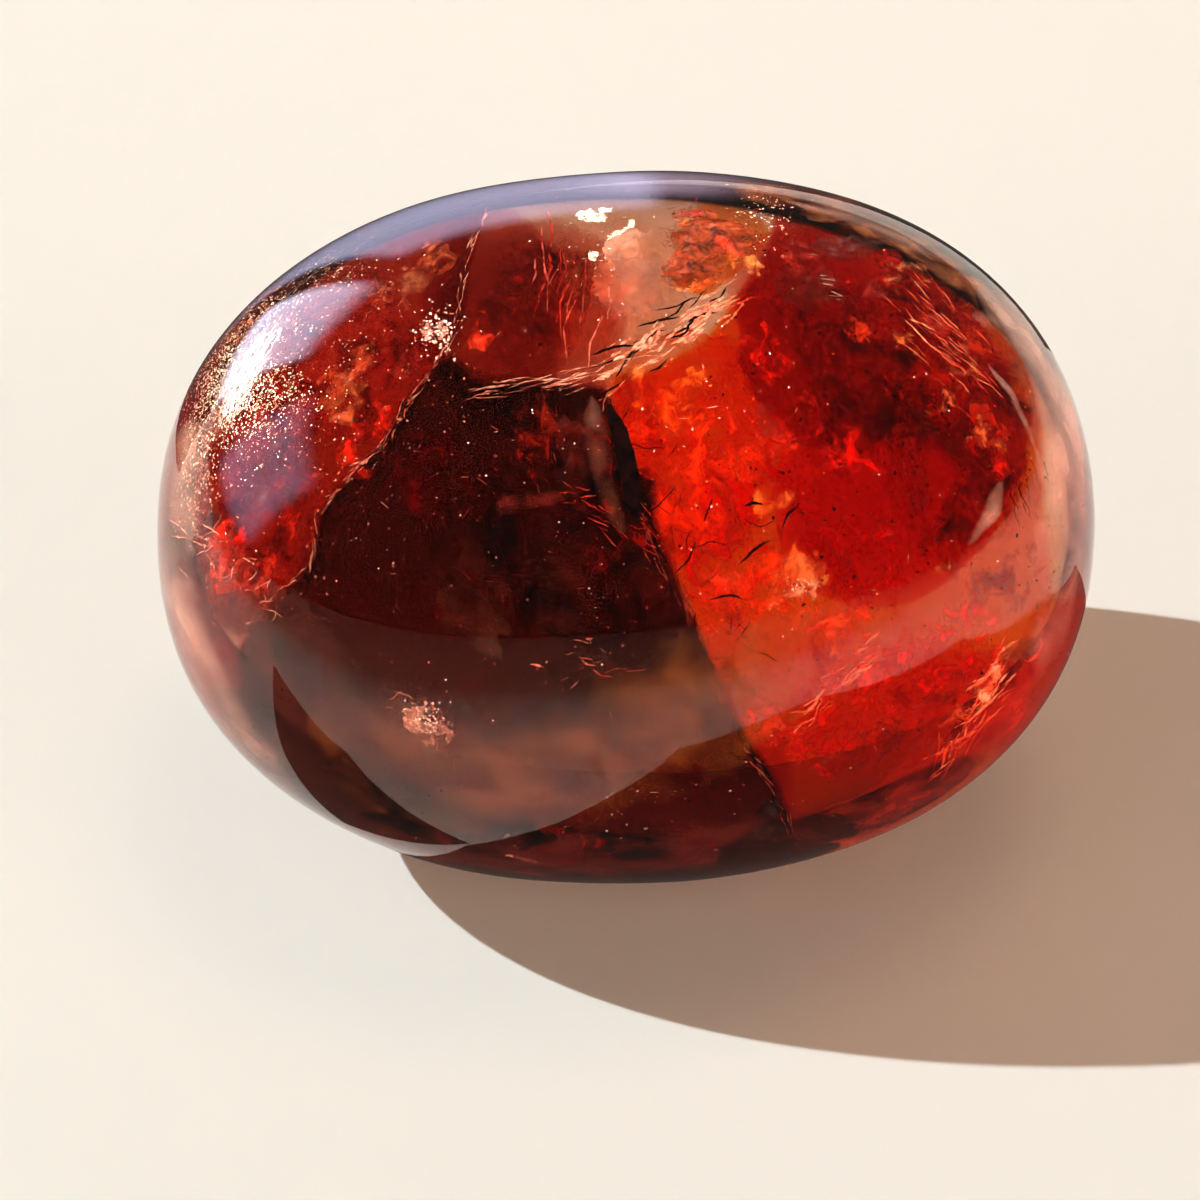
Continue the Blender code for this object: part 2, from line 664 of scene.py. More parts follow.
def ribbon(name, line, shares, width, material, **shape):
    piece = ribbon_shape(name, line, shares, width, **shape)
    keep_inside(piece)
    bpy.ops.object.shade_smooth()
    return finished(piece, material)


def size_between(sizes):
    return sizes[0] * (sizes[1] / sizes[0]) ** dice.random()


def place_near(middle, spread):
    return (dice.gauss(middle[0], spread[0]), dice.gauss(middle[1], spread[1]))


def any_way():
    return Vector([dice.gauss(0, 1) for _ in range(3)]).normalized()


def splinters(name, count, line, spread, reach, width, shares, material, heading=None, wobble=20, bow=0.15):
    """Thin bent splinters strewn along a line in the photo, which follow it or all head the same way."""
    shapes = []
    spots = along(line, 60)
    while len(shapes) < count:
        pick = dice.randrange(1, 59)
        ahead = math.atan2(spots[pick + 1][1] - spots[pick - 1][1], spots[pick + 1][0] - spots[pick - 1][0])
        angle = (ahead if heading is None else -math.radians(heading)) + math.radians(dice.gauss(0, wobble))
        middle = place_near(spots[pick], spread)
        half = size_between(reach) / 2
        share = dice.uniform(*shares)
        thin = size_between(width)
        sag = dice.uniform(-bow, bow) * half * 2
        tilt = dice.uniform(-70, 70)
        way = Vector((math.cos(angle), math.sin(angle)))
        side = Vector((-way.y, way.x))
        path = [tuple(Vector(middle) + shift) for shift in (-way * half, side * sag, way * half)]
        if all(line_of_sight(spot) for spot in path):
            shapes.append(ribbon_shape(name, path, (share, share + 0.02), thin, steps=10, lanes=2, tilt=tilt))
    bpy.ops.object.select_all(action="DESELECT")
    for shape in shapes:
        shape.select_set(True)
    bpy.context.view_layer.objects.active = shapes[0]
    bpy.ops.object.join()
    piece = bpy.context.object
    piece.name = name
    crumple(piece, 0.8, 0.25)
    keep_inside(piece)
    return finished(piece, material)


def skin_patch(name, line, reach, depth, material):
    """A patch that follows the polished surface this deep under it, within reach of a line in the photo."""
    piece = copy_of(core, name)
    spots = [seen_at(spot, 0) for spot in along(line, 24)]
    for face in piece.data.polygons:
        face.select = min((face.center - spot).length for spot in spots) > reach * MM
    with edit_mode():
        bpy.ops.mesh.select_mode(type="FACE")
        bpy.ops.mesh.delete(type="FACE")
        bpy.ops.mesh.select_all(action="SELECT")
        bpy.ops.transform.shrink_fatten(value=-depth * MM)
    aways = [min((vert.co - spot).length for spot in spots) / (reach * MM) for vert in piece.data.vertices]
    set_cover(piece, [max(0.0, 1 - away * away) for away in aways])
    return finished(piece, material)


def chip_mesh(length, width, thickness):
    """One flat chip with five uneven corners, in millimetres."""
    chip = start("chip", bpy.ops.mesh.primitive_circle_add, vertices=5, radius=0.5, fill_type="NGON")
    for corner, reach in zip(chip.data.vertices, (1.0, 0.7, 1.1, 0.85, 0.95)):
        corner.co *= reach
    with edit_mode("SELECT"):
        bpy.ops.mesh.extrude_region_move(TRANSFORM_OT_translate={"value": (0, 0, 1)})
        bpy.ops.mesh.select_all(action="SELECT")
        bpy.ops.mesh.normals_make_consistent(inside=False)
    chip.scale = (length * MM, width * MM, thickness * MM)
    bpy.ops.object.transform_apply(location=False, rotation=False, scale=True)
    mesh = chip.data
    bpy.data.objects.remove(chip)
    return mesh


def from_lowest(side):
    """The corners of a face, from the lowest number round, so that each run lists them the same way."""
    first = side.index(min(side))
    return side[first:] + side[:first]


def joined_chips(name, chip, frames, material):
    """Copies of one chip at all these frames, joined into one piece."""
    corners = [vert.co for vert in chip.vertices]
    sides = sorted(from_lowest(tuple(face.vertices)) for face in chip.polygons)
    verts = [frame_of_chip @ corner for frame_of_chip in frames for corner in corners]
    faces = [
        tuple(index + copy * len(corners) for index in side) for copy in range(len(frames)) for side in sides]
    mesh = bpy.data.meshes.new(name)
    mesh.from_pydata(verts, [], faces)
    piece = bpy.data.objects.new(name, mesh)
    bpy.context.scene.collection.objects.link(piece)
    keep_inside(piece, CHIP_SKIN)
    return finished(piece, material)


def strewn(name, chip, material, count, middle, spread, shares, sizes):
    """Chips strewn round a photo place, spread this many photo pixels across and up, and turned at random."""
    frames = []
    while len(frames) < count:
        place = place_near(middle, spread)
        share = dice.uniform(*shares)
        scale = size_between(sizes)
        turn = Matrix.Rotation(dice.uniform(0, math.tau), 4, any_way())
        if line_of_sight(place):
            frames.append(Matrix.Translation(seen_at(place, share)) @ turn @ Matrix.Scale(scale, 4))
    return joined_chips(name, chip, frames, material)


def sheen_frames(count, middle, spread, depths, sizes, tilt):
    """Frames for chips lying flat just under the polished surface, each tilted a little at random."""
    frames = []
    while len(frames) < count:
        sight = line_of_sight(place_near(middle, spread))
        depth = dice.uniform(*depths) * MM
        scale = size_between(sizes)
        tilting = any_way() * math.tan(math.radians(tilt)) * dice.random()
        spin = Matrix.Rotation(dice.uniform(0, math.tau), 4, "Z")
        if sight:
            entry, outward, _, _ = sight
            facing = (outward + tilting).to_track_quat("Z", "Y").to_matrix().to_4x4()
            place = Matrix.Translation(entry - outward * depth)
            frames.append(place @ facing @ spin @ Matrix.Scale(scale, 4))
    return frames


camera = make_camera()
make_world()
floors = make_floor()
body = smooth_stone("quartz_body", 2)
core = smooth_stone("clear_tint", 1, 0.08)
set_body(body)

# Stained crystal: the shares of red, green and blue light left after so many millimetres
wedge = stained("rusty stain", (0.58, 0.10, 0.06), 20)
heart = stained("dark maroon stain", (0.20, 0.012, 0.012), 20)
burgundy = stained("burgundy stain", (0.55, 0.14, 0.10), 10)
amber = stained("amber stain", (0.88, 0.26, 0.05), 12)
ember = stained("ember stain", (0.97, 0.22, 0.03), 25)
shoulder = stained("dark red stain", (0.62, 0.07, 0.05), 18)
pure_red = stained("pure red stain", (0.72, 0.025, 0.015), 8)
pink = stained("pink stain", (0.92, 0.70, 0.60), 10)

finished(core, stained("faint pink stain", (0.85, 0.55, 0.42), 20))
stains.append(core)

# Blocks: name, stain, rings at these shares of the depth, how broken the edge is, and outline in the photo
BLOCKS = (
    ("rusty_wedge", wedge, (0.06, 0.3, 0.6, 0.9), 7, (
        (490, 200), (476, 240), (464, 300), (456, 345), (421, 394), (391, 444), (351, 484), (324, 519),
        (316, 574), (268, 612), (240, 642), (205, 600), (185, 540), (182, 480), (195, 420), (225, 350),
        (270, 295), (330, 250), (400, 215))),
    ("dark_heart", heart, (0.06, 0.3, 0.6, 0.92), 7, (
        (452, 350), (415, 392), (387, 442), (347, 482), (320, 517), (312, 572), (264, 612), (240, 645),
        (244, 700), (262, 745), (300, 793), (350, 828), (440, 860), (540, 873), (640, 877), (720, 870),
        (797, 858), (792, 825), (782, 795), (749, 745), (721, 690), (706, 640), (686, 600), (661, 545),
        (643, 490), (616, 430), (604, 386), (560, 384), (520, 386), (480, 390))),
    ("amber_knot", amber, (0.08, 0.2, 0.32), 15, (
        (690, 212), (722, 203), (760, 212), (768, 235), (752, 262), (728, 282), (700, 288), (680, 270),
        (676, 240))),
    ("ember_block", ember, (0.05, 0.3, 0.6, 0.92), 7, (
        (605, 390), (650, 375), (700, 345), (742, 300), (785, 235), (850, 225), (930, 255), (1000, 315),
        (1036, 390), (1046, 440), (1042, 520), (1054, 600), (1046, 652), (1018, 710), (970, 758), (912, 798),
        (848, 832), (795, 848), (782, 800), (750, 745), (720, 690), (705, 640), (690, 605), (660, 545),
        (645, 500), (632, 440))),
    ("dark_shoulder", shoulder, (0.05, 0.3, 0.6), 15, (
        (742, 300), (762, 264), (776, 214), (800, 205), (850, 218), (915, 254), (975, 318), (1018, 394),
        (1028, 455), (1008, 496), (960, 470), (900, 430), (850, 455), (800, 440), (762, 400), (738, 350))),
)
for count, (name, stain, shares, jitter, outline) in enumerate(BLOCKS):
    block(name, broken_edge(outline, count, jitter), shares, stain)

# Clouds: name, photo place, share of the depth, size, turn and stain
CLOUDS = (
    ("burgundy_cloud_1", (494, 300), 0.32, (8, 15, 13), 12, burgundy),
    ("burgundy_cloud_2", (532, 312), 0.34, (11, 13, 12), 0, burgundy),
    ("pure_red_cloud", (893, 492), 0.30, (14, 10, 12), 15, pure_red),
    ("shoulder_cloud_1", (800, 285), 0.25, (9, 8, 12), 0, shoulder),
    ("shoulder_cloud_3", (820, 370), 0.35, (8, 9, 10), 20, shoulder),
    ("toe_cloud", (860, 760), 0.30, (20, 11, 12), 20, shoulder),
    ("pink_cloud", (615, 290), 0.35, (8, 11, 12), 0, pink),
)
for row in CLOUDS:
    cloud(*row)

# Films: the colour of light that passes where they are thick, middling and thin, their dust's, and the grain
ember_film = iron_film(
    "ember film", (0.62, 0.03, 0.0), (1.0, 0.34, 0.07), (1.0, 0.9, 0.7), (1.0, 0.22, 0.04), 2.6)
maroon_film = iron_film(
    "maroon film", (0.06, 0.0, 0.0), (0.50, 0.06, 0.05), (0.98, 0.7, 0.6), (0.30, 0.02, 0.015), 2.4)
rust_film = iron_film(
    "rust film", (0.30, 0.04, 0.02), (0.85, 0.25, 0.14), (1.0, 0.8, 0.65), (0.60, 0.12, 0.06), 1.8)
FILMS = (
    (ember_film, (700, 430), 0.45, (16, 16), 20, (15, 0)),
    (ember_film, (900, 700), 0.45, (22, 14), -15, (10, 0)),
    (maroon_film, (880, 330), 0.30, (18, 12), 15, (15, 10)),
    (maroon_film, (950, 430), 0.45, (14, 16), 0, (0, 25)),
    (maroon_film, (560, 560), 0.35, (20, 16), 0),
    (maroon_film, (540, 300), 0.40, (10, 12), 0, (0, 20)),
    (rust_film, (330, 360), 0.35, (16, 14), 40, (0, -20)),
    (rust_film, (260, 480), 0.40, (12, 16), 0, (0, -30)),
)
sheets("film", FILMS, ((6, 3.0), (1.6, 0.9)), 0)

# Dust: its darkest and brightest colour, its grain, and how much of its sheet it covers
orange_dust = dust_veil("orange dust", (0.80, 0.07, 0.008), (1.0, 0.40, 0.10), 1.6, 0.42)
flame_dust = dust_veil("flame dust", (0.70, 0.015, 0.003), (1.0, 0.20, 0.04), 1.6, 0.44)
# Hot dust paints light focused by the stone: pale hot orange, put only at the brightest spots of the ember
# and the toe.
focus_glow_dust = dust_veil("painted focus glow", (1.0, 0.16, 0.03), (1.0, 0.62, 0.34), 0.9, 0.44, gloss=0.5)
red_dust = dust_veil("red dust", (0.45, 0.005, 0.002), (0.95, 0.06, 0.015), 1.3, 0.42)
rust_dust = dust_veil("rust dust", (0.14, 0.025, 0.012), (0.52, 0.17, 0.09), 0.6, 0.34, fineness=0.75)
dim_dust = dust_veil("dim red dust", (0.05, 0.002, 0.001), (0.34, 0.022, 0.010), 1.8, 0.40)
amber_dust = dust_veil("amber dust", (0.30, 0.04, 0.008), (0.90, 0.30, 0.07), 1.1, 0.44)
brown_dust = dust_veil("brown dust", (0.08, 0.012, 0.004), (0.50, 0.13, 0.04), 1.3, 0.44)
knot_dust = dust_veil("knot dust", (0.05, 0.004, 0.001), (0.40, 0.060, 0.012), 1.2, 0.80, fineness=0.72)
brick_dust = dust_veil("brick dust", (0.10, 0.004, 0.002), (0.50, 0.035, 0.012), 1.1, 0.55)

# Soft hazes: the same, then how fine they are, how softly their edges fade and how dense they get
olive_dust = dust_veil("olive dust", (0.10, 0.045, 0.018), (0.24, 0.13, 0.055), 2.5, 0.46, 0.45, 0.4, 0.7)
rosy_dust = dust_veil("rosy dust", (0.28, 0.05, 0.035), (0.60, 0.17, 0.12), 2.0, 0.60, 0.5, 0.4, 0.8)
# Milky quartz, partly painted light: these pale veils in the clear window and slivers also paint the bright
# floor seen through them.
milky_and_see_through_light = dust_veil("milky quartz", (0.80, 0.45, 0.36), (1.0, 0.76, 0.66), 3.0, 0.78, 0.45, 0.5, 0.8)
# Rim haze paints light: a pale haze under the skin where the rim is clear, standing in for the bright floor
# seen through it.
painted_rim_light = dust_veil("painted rim light", (0.60, 0.29, 0.20), (0.80, 0.46, 0.34), 4.0, 0.80, 0.45, 0.5, 0.6)
# Maroon haze, partly painted shade: dark maroon under the skin, most of all along the bottom edge where the
# underside lies in shade.
maroon_haze_and_shade = dust_veil("maroon haze and painted shade", (0.030, 0.002, 0.001), (0.11, 0.012, 0.007), 3.5, 0.80, 0.5, 0.4, 0.9)
ochre_haze = dust_veil("ochre haze", (0.14, 0.03, 0.010), (0.36, 0.11, 0.035), 2.5, 0.75, 0.55, 0.4, 0.8)
dark_haze = dust_veil("dark haze", (0.035, 0.004, 0.003), (0.10, 0.012, 0.008), 2.0, 0.85, 0.55, 0.4, 0.75)
umber_haze = dust_veil("umber haze", (0.050, 0.008, 0.005), (0.095, 0.017, 0.009), 3.0, 1.05, 0.45, 0.4, 0.75)
# Sand haze paints a reflection: the pale olive-brown band where the lit floor is mirrored across the lower
# front.
painted_reflection_haze = dust_veil("painted reflection haze", (0.24, 0.055, 0.008), (0.34, 0.095, 0.014), 3.0, 1.0, 0.45, 0.5, 0.6)
toe_haze = dust_veil("toe haze", (0.30, 0.010, 0.004), (0.55, 0.035, 0.010), 2.5, 0.85, 0.55, 0.4, 0.7)
ghost_haze = dust_veil("ghost haze", (0.06, 0.016, 0.006), (0.16, 0.052, 0.020), 2.0, 0.85, 0.5, 0.5, 0.45)
# Blush paints the pale pink light seen through the clear window.
see_through_blush = dust_veil("blush quartz", (0.11, 0.060, 0.052), (0.18, 0.105, 0.090), 3.0, 0.8, 0.45, 0.5, 0.5)
glow_haze = dust_veil("glow haze", (0.05, 0.004, 0.001), (0.15, 0.014, 0.004), 2.5, 0.85, 0.5, 0.5, 0.7)
# Painted shade: near-black green veils at the lower left end of the heart and near the bottom.
painted_shade_veil = dust_veil("green painted shade", (0.003, 0.002, 0.001), (0.010, 0.007, 0.003), 2.0, 0.9, 0.5, 0.4, 0.9)
strip_haze = dust_veil("strip haze", (0.08, 0.016, 0.007), (0.20, 0.045, 0.020), 2.0, 0.9, 0.5, 0.5, 0.7)
VEILS = (
    (orange_dust, (655, 400), 0.30, (8, 5), -25, (20, 10)),
    (orange_dust, (695, 385), 0.22, (6, 3), 50, (30, -20)),
    (orange_dust, (640, 430), 0.40, (6, 6), 0, (10, 20)),
    (flame_dust, (720, 450), 0.32, (10, 7), 15, (10, 25)),
    (flame_dust, (690, 520), 0.35, (8, 7), -30, (10, 25)),
    (flame_dust, (760, 590), 0.30, (10, 7), 40, (-15, 10)),
    (orange_dust, (790, 575), 0.24, (7, 5), 30, (20, 0)),
    # Painted focus glow at the ember's brightest peak.
    (focus_glow_dust, (803, 590), 0.16, (4.2, 2.6), 20, (20, 0)),
    (focus_glow_dust, (775, 602), 0.20, (3.4, 1.2), 25, (20, 0)),
    (orange_dust, (778, 500), 0.24, (4.5, 2.8), 10, (15, 20)),
    (flame_dust, (830, 630), 0.28, (9, 5), -20, (0, 20)),
    (red_dust, (740, 520), 0.45, (15, 13), 30),
    (red_dust, (850, 560), 0.42, (12, 9), 0, (20, -20)),
    (red_dust, (900, 680), 0.25, (12, 7), -25, (20, 0)),
    (red_dust, (820, 740), 0.30, (10, 7), -25, (0, 20)),
    (red_dust, (960, 650), 0.35, (8, 8), -40, (0, 20)),
    (focus_glow_dust, (990, 690), 0.12, (2.6, 6.4), -38, (10, 20)),
    (flame_dust, (962, 708), 0.15, (6.5, 4), 50, (10, 20)),
    (red_dust, (835, 685), 0.20, (5, 2.2), 35, (10, 20)),
    (amber_dust, (860, 330), 0.22, (3.0, 4.0), 0, (10, 10)),
    (brown_dust, (985, 435), 0.26, (6, 7), 20, (0, 30)),
    (brown_dust, (920, 380), 0.34, (8, 8), 10, (0, 20)),
    (brown_dust, (975, 330), 0.22, (5, 6), 30, (0, 30)),
    (amber_dust, (1000, 450), 0.24, (2.6, 3.6), 20, (0, 30)),
    (dim_dust, (820, 400), 0.35, (10, 12), 20, (0, 20)),
    (dim_dust, (780, 300), 0.25, (7, 7), 0, (0, 20)),
    (dim_dust, (880, 270), 0.22, (10, 4), 20, (0, 20)),
    (amber_dust, (722, 240), 0.16, (6.5, 5), 10, (20, 0)),
    (orange_dust, (700, 285), 0.20, (4.5, 2.2), 15, (20, 0)),
    (brown_dust, (690, 225), 0.14, (4, 3), 0),
    (red_dust, (482, 338), 0.20, (3.2, 4.2), 0, (0, 20)),
    (dim_dust, (520, 290), 0.25, (7, 9), 0, (0, 20)),
    (red_dust, (372, 432), 0.20, (3.6, 5.5), -35, (10, -20)),
    (flame_dust, (350, 460), 0.26, (3.5, 4), 40, (10, -20)),
    (red_dust, (290, 520), 0.22, (3.5, 4.5), 0, (0, -30)),
    (ochre_haze, (420, 282), 0.10, (4, 4), 30),
    (brown_dust, (345, 400), 0.14, (5, 7), 35, (0, -20)),
    (brown_dust, (440, 255), 0.14, (4, 5), 10),
    (dim_dust, (300, 470), 0.20, (6, 5), 0, (0, -20)),
    (ghost_haze, (472, 598), 0.14, (6, 8), 10),
    (ghost_haze, (560, 590), 0.16, (5, 8), -10),
    (dark_haze, (275, 470), 0.05, (7, 6), 0),
    (brown_dust, (704, 232), 0.05, (5, 3.5), 0),
    (dim_dust, (698, 214), 0.05, (5, 1.8), 0),
    (red_dust, (726, 250), 0.05, (4, 3), 20),
    (dark_haze, (850, 246), 0.06, (9, 3), 8),
    (dim_dust, (792, 245), 0.07, (4, 4), 0),
    (brown_dust, (905, 275), 0.08, (6, 3), 25),
    (dim_dust, (800, 262), 0.10, (6, 3), 0),
    (dim_dust, (868, 292), 0.12, (7, 4), 10),
    (dim_dust, (935, 330), 0.12, (5, 5), 30),
    (glow_haze, (578, 452), 0.12, (4.0, 7.5), -8),
    (brown_dust, (535, 432), 0.24, (5, 7), 20, (0, 20)),
    (glow_haze, (640, 565), 0.14, (3.2, 6.0), 35),
    (glow_haze, (560, 520), 0.18, (6.0, 4.0), 0),
    (knot_dust, (712, 238), 0.055, (8.0, 5.6), 12),
    (knot_dust, (692, 272), 0.075, (5.0, 3.2), 20),
    (see_through_blush, (634, 286), 0.10, (5.0, 6.0), 0),
    # Painted shade in the dark corners.
    (painted_shade_veil, (292, 642), 0.045, (5.0, 3.0), -18),
    (painted_shade_veil, (772, 826), 0.05, (3.2, 4.6), 20),
    (amber_dust, (942, 398), 0.13, (4.5, 3.0), 30),
    (amber_dust, (905, 345), 0.12, (3.5, 2.5), -10),
    (amber_dust, (988, 440), 0.11, (3.0, 4.0), 20),
    (brown_dust, (960, 360), 0.10, (4.0, 3.5), 30),
    (maroon_haze_and_shade, (1020, 648), 0.05, (4.2, 3.4), -20),
    (red_dust, (1030, 652), 0.07, (3.0, 5.0), 30),
    (toe_haze, (1036, 640), 0.045, (3.6, 5.4), 30),
    (focus_glow_dust, (808, 586), 0.08, (2.0, 1.3), 20),
    (dark_haze, (806, 284), 0.11, (5.5, 3.8), 10),
    (dim_dust, (735, 625), 0.12, (3.5, 6), 25),
    (dim_dust, (700, 565), 0.10, (2.6, 5), 20),
    (dim_dust, (765, 420), 0.14, (3.5, 6), 30),
    (red_dust, (720, 600), 0.18, (5, 6), 0, (0, 20)),
    (amber_dust, (938, 572), 0.06, (2.4, 1.5), -30),
    (amber_dust, (700, 225), 0.07, (5.5, 3.0), 10, (10, 0)),
    (amber_dust, (745, 262), 0.07, (4.0, 3.0), 40, (10, 0)),
    (red_dust, (680, 262), 0.08, (3.0, 4.0), 0, (0, 10)),
    (orange_dust, (690, 282), 0.12, (4.0, 2.2), 20, (10, 0)),
    (brick_dust, (225, 560), 0.16, (5.5, 6), 0, (0, -30)),
    (brick_dust, (262, 575), 0.22, (5, 4.5), 0, (0, -30)),
    (red_dust, (232, 545), 0.30, (3.5, 4), 0, (0, -30)),
    (rust_dust, (240, 330), 0.07, (10, 8), 45),
    (rust_dust, (205, 440), 0.07, (6, 11), 0),
    (rust_dust, (390, 290), 0.15, (8, 7), 30),
    (brown_dust, (350, 370), 0.22, (8, 6), 40, (0, -20)),
    (dim_dust, (410, 370), 0.18, (4, 4), 0, (0, -20)),
    (dim_dust, (610, 540), 0.25, (8, 6), 30, (20, 0)),
    (dim_dust, (430, 470), 0.30, (9, 8), 0, (0, 20)),
    (dim_dust, (600, 450), 0.30, (5, 8), 0, (0, 20)),
    (olive_dust, (475, 600), 0.28, (7, 6), 20),
    (olive_dust, (268, 680), 0.16, (4.5, 8), 10, (0, -20)),
    (maroon_haze_and_shade, (330, 700), 0.10, (10, 10), 30),
    # Painted see-through light in the clear window.
    (milky_and_see_through_light, (628, 285), 0.30, (5.5, 7.5), 0, (0, 20)),
    (milky_and_see_through_light, (632, 250), 0.24, (5.0, 5.0), 0, (0, 20)),
    (dim_dust, (682, 216), 0.10, (4.2, 2.4), 0, (0, 10)),
    (dim_dust, (752, 248), 0.10, (3.6, 3.6), 30, (0, 10)),
    (brown_dust, (715, 268), 0.12, (6.0, 3.0), 10, (0, 10)),
    (red_dust, (790, 430), 0.20, (7, 5), 30, (10, 10)),
    (red_dust, (845, 455), 0.22, (8, 5), 0, (10, 10)),
    (red_dust, (770, 350), 0.20, (5, 7), 0, (0, 20)),
    (dim_dust, (1005, 585), 0.28, (8, 6), 20, (0, 10)),
    (dim_dust, (735, 690), 0.22, (6, 9), 0, (0, 10)),
    (red_dust, (765, 725), 0.18, (7, 7), 20, (0, 10)),
    (dim_dust, (880, 745), 0.18, (11, 5), 20, (0, 10)),
    (dim_dust, (950, 700), 0.22, (6, 6), 40, (0, 10)),
    (milky_and_see_through_light, (585, 330), 0.40, (5.5, 6.5), 0, (0, 20)),
)
sheets("veil", VEILS, ((3, 1.8), (0.9, 0.6)), 60)

# Clear rims where the iron ends, and slivers of clear quartz in them; their pale haze paints the bright floor
# seen through the clear quartz
RIMS = (
    ("sliver_1", ((984, 362), (1010, 392), (1030, 430), (1044, 476)), (0.05, 0.05), 0.9, milky_and_see_through_light),
    ("sliver_2", ((1003, 478), (992, 512), (968, 545)), (0.05, 0.05), 1.3, painted_rim_light),
    ("pale_shoulder", ((780, 200), (850, 218), (910, 242), (955, 275)), (0.06, 0.06), 1.2, painted_rim_light),
    ("rosy_strip", ((590, 394), (598, 440), (606, 490), (624, 535)), (0.06, 0.06), 1.8, strip_haze),
    ("ghost_arc", ((492, 530), (503, 510), (530, 499), (570, 496)), (0.15, 0.15), 1.6, rosy_dust),
)
for row in RIMS:
    ribbon(*row, folds=((3, 0.6),), tilt=15)

# Haze under the skin: name, line in the photo, reach to both sides, depth and dust
PATCHES = (
    # Left and right rims: pale haze that paints the bright floor seen through the clear edge.
    ("left_rim", ((176, 470), (166, 540), (174, 610), (196, 670), (230, 725), (262, 762)), 4.2, 0.4,
     painted_rim_light),
    ("right_rim", ((1030, 340), (1064, 410), (1078, 480), (1076, 550), (1070, 600)), 5.4, 0.4, painted_rim_light),
    ("top_rim", ((770, 190), (840, 206), (905, 234), (960, 272), (1008, 322)), 3.2, 0.4, ochre_haze),
    # Painted shade: dark maroon haze along the bottom edge, the shaded underside.
    ("shaded_bottom_edge", ((440, 855), (560, 872), (700, 868), (770, 858)), 6.5, 0.45, maroon_haze_and_shade),
    ("lower_left", ((262, 690), (300, 760), (350, 810), (420, 835)), 7.5, 0.45, umber_haze),
    # Painted reflection: a sand-coloured haze along the band where the lit floor is mirrored in the lower
    # front.
    ("reflection_band", ((390, 760), (470, 785), (560, 775), (650, 738), (720, 705)), 5.5, 0.40, painted_reflection_haze),
    ("toe_edge", ((800, 848), (880, 822), (950, 782), (1010, 730)), 4.5, 0.45, toe_haze),
)
for row in PATCHES:
    skin_patch(*row)
ribbon("red_arc", ((560, 505), (600, 508), (632, 530), (655, 560)), (0.2, 0.2), 2.0, red_dust,
       folds=((2, 0.8), (0.6, 0.4)), tilt=20)

pink_crack = crack_mirror("pink crack", (0.62, 0.34, 0.28), 0.16)
# Gold crack paints glints: partly a mirror, but its near-white colour shines white under the inner lamps from
# any side.
glint_crack = crack_mirror("gold crack with painted glint", (1.0, 0.92, 0.78), 0.3)
CRINKLES = (
    (pink_crack, (425, 725), 0.12, (3.6, 2.8), -20, (20, 0)),
    (pink_crack, (435, 332), 0.08, (2.2, 2.0), 0, (20, 0)),
    (glint_crack, (597, 213), 0.10, (2.6, 2.2), 0, (-10, 0)),
    (glint_crack, (594, 256), 0.12, (1.5, 1.6), 0, (-10, 0)),
    (glint_crack, (622, 228), 0.12, (0.5, 3.0), -35, (-10, 0)),
)
sheets("crinkle", CRINKLES, ((1.6, 1.2), (0.5, 0.6)), 20, fineness=56, smooth=False)

# The two long fracture lines, and the threads of cracks beside them
LEFT_LINE = (
    (490, 205), (470, 240), (458, 300), (450, 345), (415, 390), (385, 440), (345, 480), (318, 515),
    (310, 570), (262, 608), (238, 640))
RIGHT_LINE = ((600, 390), (630, 480), (650, 540), (690, 620), (710, 660), (740, 740), (780, 800), (790, 830))
peach = dust_veil("peach splinters", (0.50, 0.12, 0.07), (1.0, 0.60, 0.45), 0.5, 0.85, gloss=0.5)
dull_pink = dust_veil("dull pink splinters", (0.30, 0.06, 0.04), (0.75, 0.30, 0.24), 0.7, 0.95)
fiery = dust_veil("fiery splinters", (0.80, 0.05, 0.01), (1.0, 0.45, 0.22), 0.7, 0.95, gloss=0.5)
black_crack = mineral_dust(
    "black crack", (0.0006, 0.0002, 0.0002), (0.004, 0.0008, 0.0006), 0.9, specular=0.0)
splinters("left_crack", 84, LEFT_LINE, (2.2, 2.2), (8, 30), (0.04, 0.12), (0.07, 0.11), peach,
          wobble=14, bow=0.05)
splinters("right_crack", 44, RIGHT_LINE, (2, 2), (12, 36), (0.05, 0.12), (0.09, 0.12), dull_pink,
          wobble=12, bow=0.05)
splinters("right_crack_dark", 24, RIGHT_LINE, (4, 4), (16, 44), (0.08, 0.22), (0.09, 0.13), black_crack,
          wobble=12)
splinters("upper_crack", 30, ((470, 396), (520, 386), (560, 382), (604, 368)), (2, 5), (16, 60), (0.05, 0.18),
          (0.08, 0.13), peach, wobble=7, bow=0.05)
splinters("ledge", 50, ((604, 372), (640, 352), (685, 325), (735, 290)), (4, 11), (18, 60), (0.08, 0.50),
          (0.12, 0.20), peach, heading=32, wobble=11, bow=0.08)
splinters("ledge_dark", 16, ((604, 376), (640, 350), (685, 322), (730, 292)), (4, 11), (18, 50), (0.10, 0.30),
          (0.10, 0.20), black_crack, heading=32, wobble=14)
splinters("toe_crinkles", 60, ((930, 765), (960, 735), (990, 690), (1010, 650)), (7, 12), (14, 54),
          (0.06, 0.32), (0.10, 0.18), fiery, heading=52, wobble=16, bow=0.08)
splinters("lower_crinkles", 30, ((800, 715), (835, 690), (872, 652)), (6, 10), (14, 46), (0.05, 0.22),
          (0.12, 0.20), fiery, heading=38, wobble=14, bow=0.08)
splinters("shoulder_streaks", 46, ((925, 300), (950, 340), (975, 390)), (16, 16), (20, 56), (0.05, 0.14),
          (0.06, 0.13), fiery, heading=-42, wobble=7, bow=0.06)
